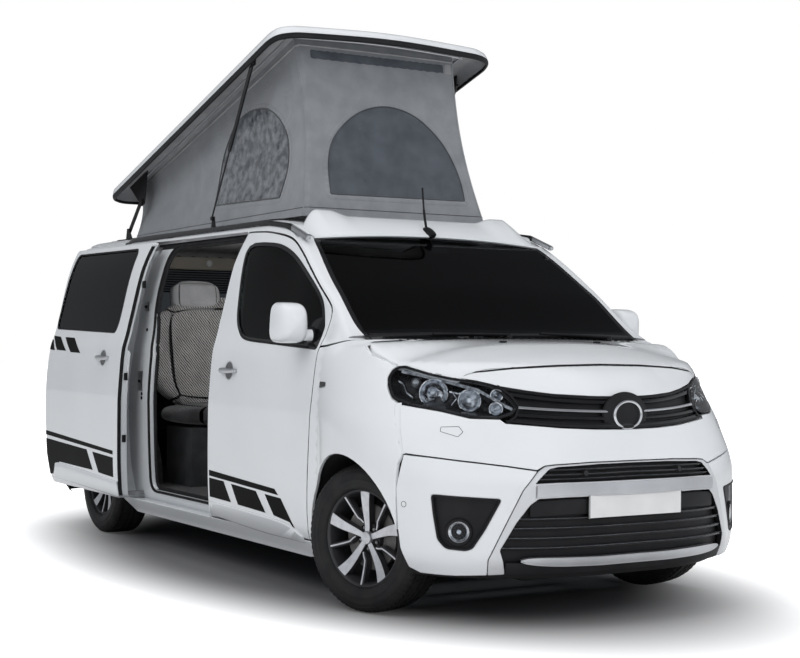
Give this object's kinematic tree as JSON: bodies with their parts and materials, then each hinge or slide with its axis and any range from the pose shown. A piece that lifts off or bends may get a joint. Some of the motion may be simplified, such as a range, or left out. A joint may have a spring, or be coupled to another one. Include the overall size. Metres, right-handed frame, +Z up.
{
  "type": "camper van",
  "caption": "Compact camper van with a rear-hinged lifting roof and fabric tent, opening doors, bonnet and tailgate, steered front wheels and a fitted cabin.",
  "frame": {"origin": "on the ground, under the middle of the overall length and width", "axes": "+X forward, +Y to the vehicle's left, +Z up"},
  "size_m": [4.9485, 2.2, 2.9426],
  "materials": {
    "alloy": "machined",
    "black_plastic": "matte",
    "cast": "rough",
    "chrome": "polished",
    "dark_glass": "gloss",
    "dark_trim": "matte",
    "furniture": "satin",
    "glass": "gloss",
    "lamp": "gloss",
    "plate": "satin",
    "rail": "satin",
    "rear_lamp": "gloss",
    "seat_fabric": "woven",
    "steel": "satin",
    "tent_fabric": "coated",
    "tyre": "matte",
    "white_paint": "gloss"
  },
  "bodies": {
    "body": {"bed_board": "furniture", "body_side_left": "white_paint", "body_side_right": "white_paint", "cabinets": "furniture", "cowl": "black_plastic", "dashboard": "black_plastic", "engine_block": "steel", "exhaust_and_tank": "steel", "fixed_roof": "white_paint", "floor_pan": "steel", "front_bumper": "white_paint", "front_fenders": "white_paint", "front_seats": "seat_fabric", "front_subframe": "steel", "headlamps": "lamp", "licence_plate": "plate", "lower_grille": "black_plastic", "rear_axle": "steel", "rear_bench": "seat_fabric", "rear_bumper": "white_paint", "rear_lamps": "rear_lamp", "roof_fairing": "white_paint", "roof_feet": "steel", "roof_rails": "rail", "seat_bases": "dark_trim", "side_glass": "dark_glass", "sliding_door": "white_paint", "sliding_door_rails": "steel", "steering_wheel": "black_plastic", "tent": "tent_fabric", "upper_grille": "black_plastic", "wheel_arch_liners": "black_plastic", "windscreen": "glass"},
    "front_door_right": {"front_door_right": "white_paint", "front_door_glass_right": "glass", "door_mirror_right": "white_paint"},
    "front_door_left": {"front_door_left": "white_paint", "front_door_glass_left": "glass", "door_mirror_left": "white_paint"},
    "bonnet": {"bonnet": "white_paint"},
    "tailgate": {"tailgate": "white_paint", "tailgate_glass": "dark_glass"},
    "roof_arms": {"roof_arms": "steel"},
    "lifting_roof": {"lifting_roof": "white_paint", "lifting_roof_rim": "black_plastic", "roof_hangers": "steel"},
    "strut_tubes": {"strut_tubes": "steel"},
    "strut_rods": {"strut_rods": "chrome"},
    "front_knuckle_right": {"front_knuckle_right": "cast"},
    "front_knuckle_left": {"front_knuckle_left": "cast"},
    "front_wheel_right": {"front_tyre_right": "tyre", "front_rim_right": "alloy"},
    "front_wheel_left": {"front_tyre_left": "tyre", "front_rim_left": "alloy"},
    "rear_wheel_right": {"rear_tyre_right": "tyre", "rear_rim_right": "alloy"},
    "rear_wheel_left": {"rear_tyre_left": "tyre", "rear_rim_left": "alloy"}
  },
  "joints": [
    {"name": "front_door_right_hinge", "type": "hinge", "parent": "body", "child": "front_door_right", "pos_m": [1.18, -0.932, 0.4], "axis": [0, 0.0349, 0.9994], "range_deg": [0, 70]},
    {"name": "front_door_left_hinge", "type": "hinge", "parent": "body", "child": "front_door_left", "pos_m": [1.18, 0.932, 0.4], "axis": [0, 0.0349, -0.9994], "range_deg": [0, 70]},
    {"name": "bonnet_hinge", "type": "hinge", "parent": "body", "child": "bonnet", "pos_m": [1.63, 0, 1.23], "axis": [0, -1, 0], "range_deg": [0, 50]},
    {"name": "tailgate_hinge", "type": "hinge", "parent": "body", "child": "tailgate", "pos_m": [-2.375, 0, 1.822], "axis": [0, 1, 0], "range_deg": [0, 85]},
    {"name": "roof_lift", "type": "hinge", "parent": "body", "child": "roof_arms", "pos_m": [-1.97, 0, 1.95102], "axis": [0, 1, 0], "range_deg": [0, 75.87], "deforming": ["tent"]},
    {"name": "roof_tilt", "type": "hinge", "parent": "roof_arms", "child": "lifting_roof", "pos_m": [-1.78004, 0, 2.13295], "axis": [0, -1, 0], "range_deg": [0, 59.57]},
    {"name": "strut_swing", "type": "hinge", "parent": "lifting_roof", "child": "strut_tubes", "pos_m": [0.00003, 0, 2.76496], "axis": [0, 1, 0], "range_deg": [0, 43.36]},
    {"name": "strut_stroke", "type": "slide", "parent": "strut_tubes", "child": "strut_rods", "axis": [0.5309, 0, 0.8475], "range_m": [0, 0.31881]},
    {"name": "steering_right", "type": "hinge", "parent": "body", "child": "front_knuckle_right", "pos_m": [1.5985, -0.775, 0.34], "axis": [0, 0, 1], "range_deg": [-50, 16]},
    {"name": "steering_left", "type": "hinge", "parent": "body", "child": "front_knuckle_left", "pos_m": [1.5985, 0.775, 0.34], "axis": [0, 0, 1], "range_deg": [-50, 16]},
    {"name": "front_wheel_right_spin", "type": "hinge", "parent": "front_knuckle_right", "child": "front_wheel_right", "pos_m": [1.60976, -0.81182, 0.34], "axis": [-0.2924, 0.9563, 0], "continuous": true},
    {"name": "front_wheel_left_spin", "type": "hinge", "parent": "front_knuckle_left", "child": "front_wheel_left", "pos_m": [1.58724, 0.81182, 0.34], "axis": [-0.2924, 0.9563, 0], "continuous": true},
    {"name": "rear_wheel_right_spin", "type": "hinge", "parent": "body", "child": "rear_wheel_right", "pos_m": [-1.6765, -0.8, 0.34], "axis": [0, 1, 0], "continuous": true},
    {"name": "rear_wheel_left_spin", "type": "hinge", "parent": "body", "child": "rear_wheel_left", "pos_m": [-1.6765, 0.8, 0.34], "axis": [0, 1, 0], "continuous": true}
  ],
  "couplings": [
    {"joint": "roof_tilt", "follows": "roof_lift", "ratio": 0.78517},
    {"joint": "strut_swing", "follows": "roof_lift", "ratio": 0.57151},
    {"joint": "strut_stroke", "follows": "roof_lift", "m_per_rad": 0.24074},
    {"joint": "steering_left", "follows": "steering_right", "ratio": 1}
  ]
}
